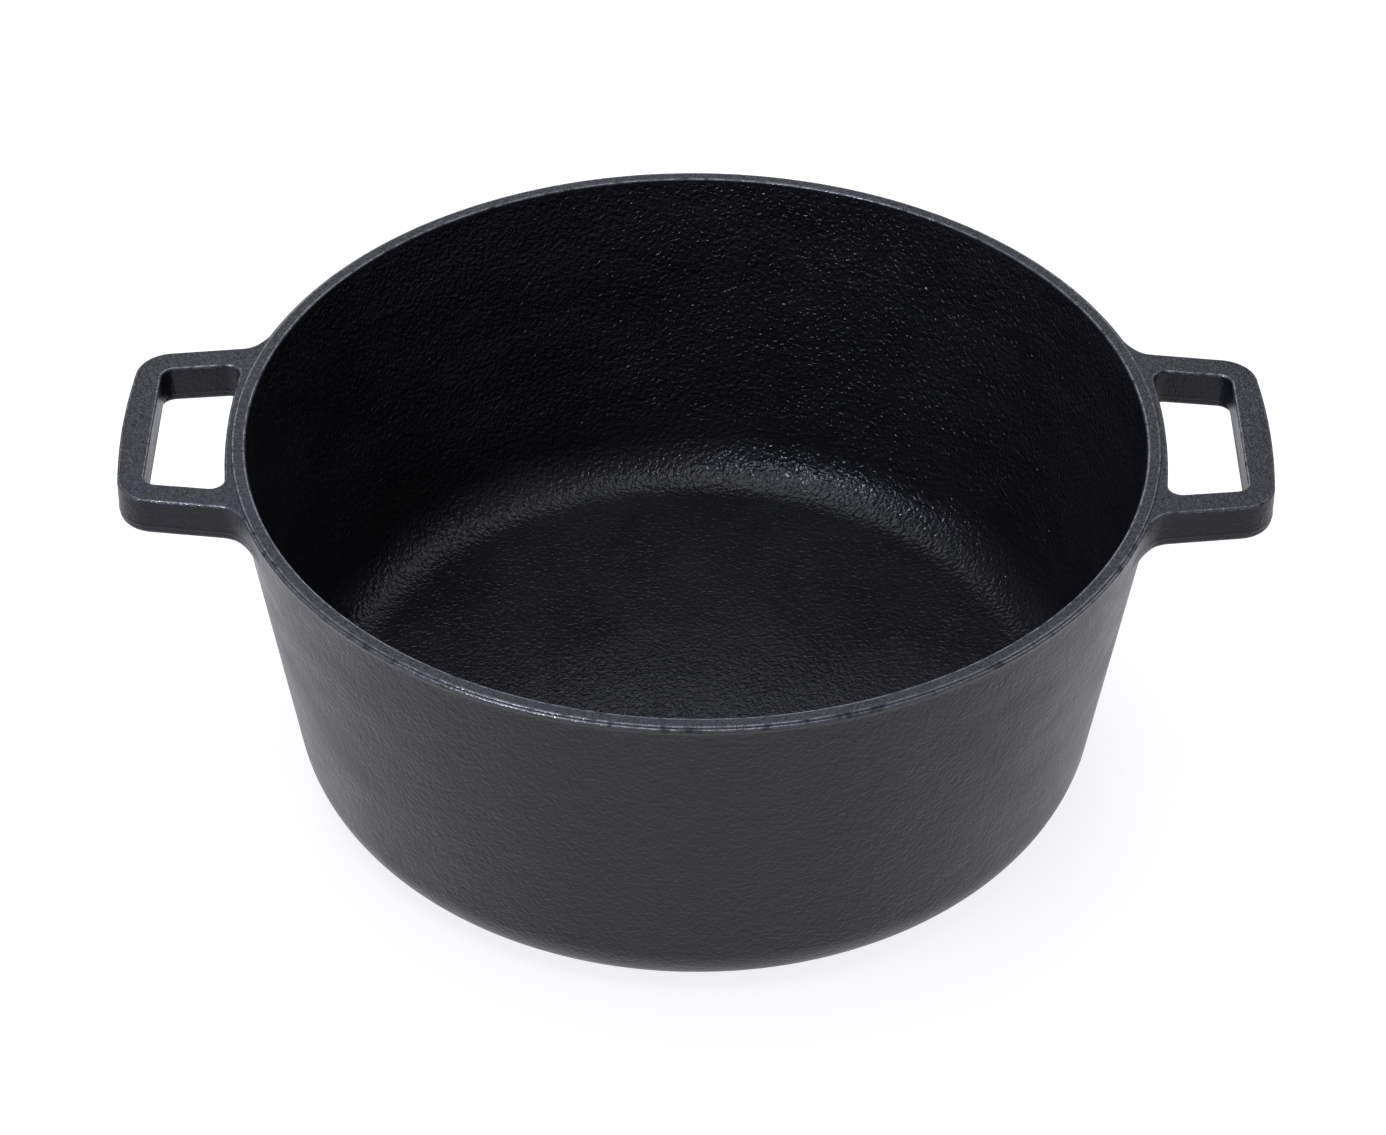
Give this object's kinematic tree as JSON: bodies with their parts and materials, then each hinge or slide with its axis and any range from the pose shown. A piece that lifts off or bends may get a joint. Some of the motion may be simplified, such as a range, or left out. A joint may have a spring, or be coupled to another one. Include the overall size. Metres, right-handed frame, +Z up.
{
  "type": "dutch oven pot",
  "caption": "Round black cast iron cooking pot with tapered sides, a flat lid seat and a loop handle on each side of the rim, shown without its lid.",
  "frame": {"origin": "middle of the foot ring's resting face, on the pot's axis", "axes": "+X along the handles towards the right one, -Y towards the front, +Z up out of the mouth"},
  "size_m": [0.3318, 0.2694, 0.1125],
  "materials": {
    "seasoned_iron": "sand cast and oil seasoned, satin",
    "seasoned_cooking_surface": "sand cast pebble, oil seasoned, semi-gloss"
  },
  "bodies": {
    "root": {"floor_plate": "seasoned_cooking_surface", "foot_ring": "seasoned_iron", "corner_curve": "seasoned_iron", "side_wall": "seasoned_iron", "rim_band": "seasoned_iron", "right_handle_root": "seasoned_iron", "right_handle_front_arm": "seasoned_iron", "right_handle_rear_arm": "seasoned_iron", "right_handle_grip": "seasoned_iron", "left_handle_root": "seasoned_iron", "left_handle_front_arm": "seasoned_iron", "left_handle_rear_arm": "seasoned_iron", "left_handle_grip": "seasoned_iron"}
  },
  "joints": []
}
